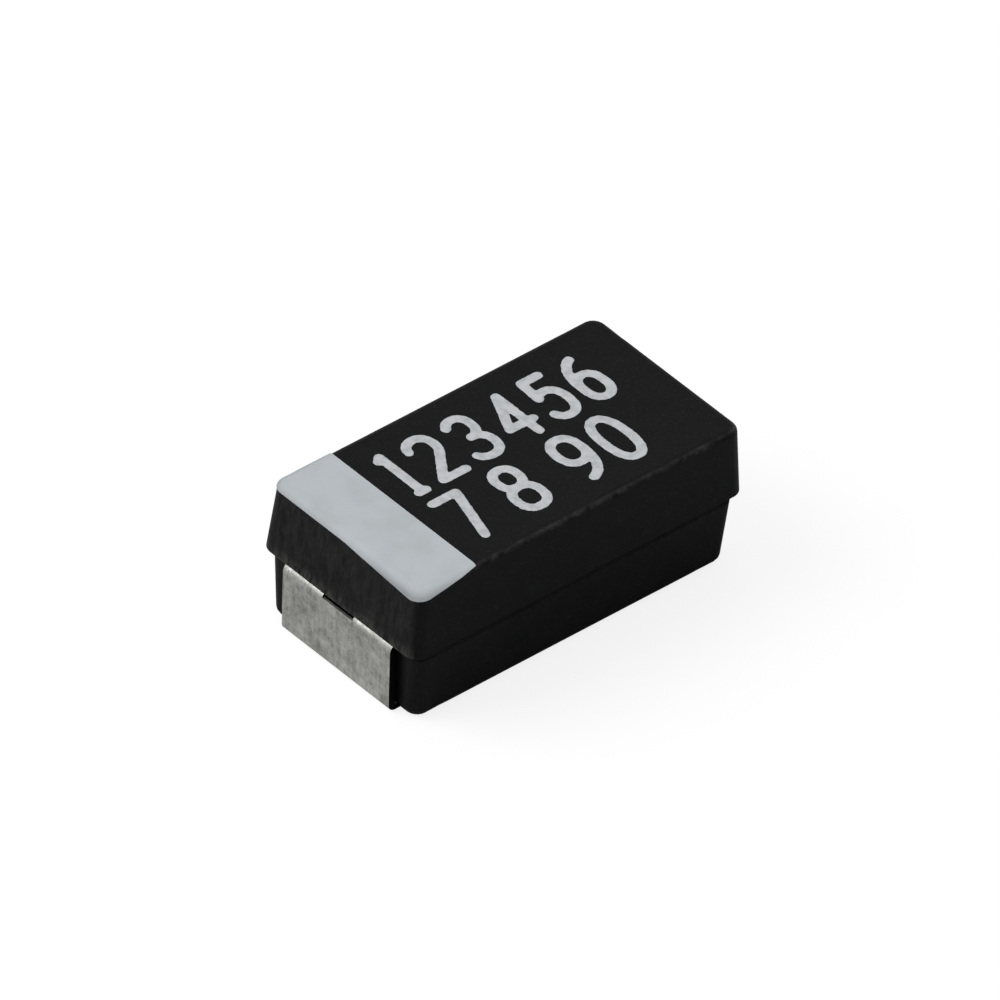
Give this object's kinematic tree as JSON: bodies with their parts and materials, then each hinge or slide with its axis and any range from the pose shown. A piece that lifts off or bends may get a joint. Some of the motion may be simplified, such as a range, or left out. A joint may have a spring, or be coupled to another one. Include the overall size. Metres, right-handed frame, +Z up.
{
  "type": "tantalum capacitor",
  "caption": "Moulded chip tantalum capacitor: a black epoxy block with a light band at the anode end and folded strip terminals that turn under each end.",
  "frame": {"origin": "on the seating plane of the two feet, under the middle of the case", "axes": "+X along the length from the banded anode end to the cathode end, +Y across the width, +Z up out of the marked face"},
  "size_m": [0.006, 0.0032, 0.0024],
  "materials": {
    "epoxy": "matte moulded epoxy",
    "ink": "light grey ink",
    "tinned_strip": "matte tin plate",
    "tantalum": "dull sintered metal",
    "washer": "smooth white",
    "manganese_dioxide": "dull black",
    "carbon": "dull black",
    "silver_paint": "matte silver paint"
  },
  "bodies": {
    "root": {"moulded_case": "epoxy", "polarity_band": "ink", "anode_terminal": "tinned_strip", "cathode_terminal": "tinned_strip", "tantalum_pellet": "tantalum", "anode_wire": "tantalum", "wire_washer": "washer", "manganese_coat": "manganese_dioxide", "carbon_coat": "carbon", "silver_coat": "silver_paint", "silver_adhesive": "silver_paint"}
  },
  "joints": []
}
